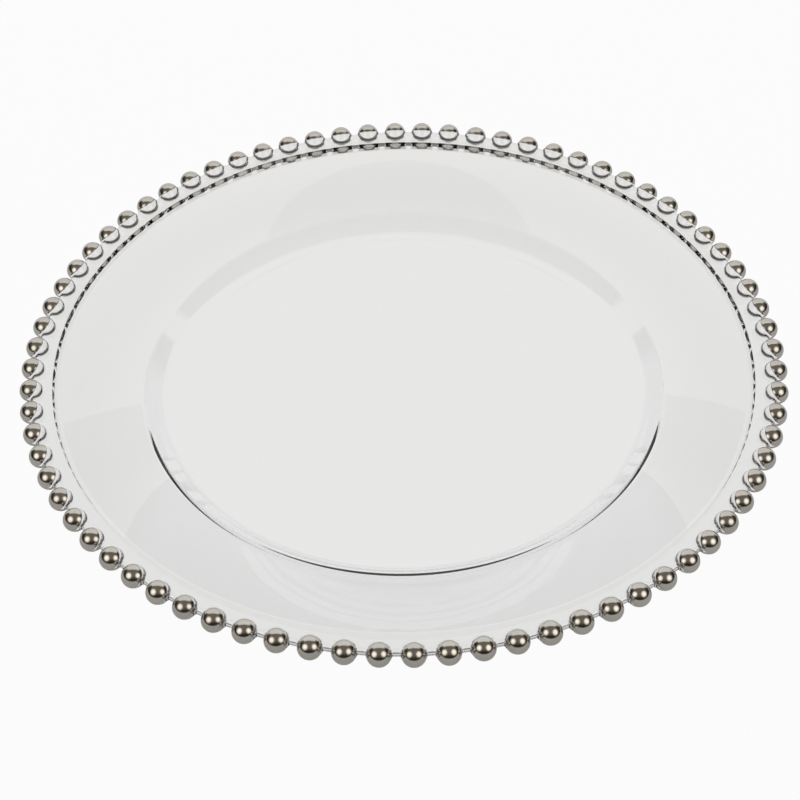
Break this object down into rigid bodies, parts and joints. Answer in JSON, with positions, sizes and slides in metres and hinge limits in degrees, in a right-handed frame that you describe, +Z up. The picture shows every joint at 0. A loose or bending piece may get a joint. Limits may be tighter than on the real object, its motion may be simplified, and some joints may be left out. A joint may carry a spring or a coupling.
{
  "type": "charger plate",
  "caption": "Round clear glass charger plate with a shallow well, a wide sloping flange and a flat rim band edged with silvered beads.",
  "frame": {"origin": "on the centre axis, at the resting face", "axes": "+Z up along the symmetry axis, out of the well; +X through the centre of the first bead; the part has rotational symmetry, so +Y is any horizontal direction a quarter turn on"},
  "size_m": [0.33, 0.33, 0.025],
  "materials": {
    "clear_glass": "pressed and fire polished",
    "silver_lacquer": "silvered, polished"
  },
  "bodies": {
    "root": {"glass_plate": "clear_glass", "bead_arc_01": "silver_lacquer", "bead_arc_02": "silver_lacquer", "bead_arc_03": "silver_lacquer", "bead_arc_04": "silver_lacquer", "bead_arc_05": "silver_lacquer", "bead_arc_06": "silver_lacquer", "bead_arc_07": "silver_lacquer", "bead_arc_08": "silver_lacquer", "bead_arc_09": "silver_lacquer", "bead_arc_10": "silver_lacquer", "bead_arc_11": "silver_lacquer", "bead_arc_12": "silver_lacquer", "bead_arc_13": "silver_lacquer", "bead_arc_14": "silver_lacquer", "bead_arc_15": "silver_lacquer", "bead_arc_16": "silver_lacquer", "bead_arc_17": "silver_lacquer", "bead_arc_18": "silver_lacquer", "bead_arc_19": "silver_lacquer"}
  },
  "joints": []
}
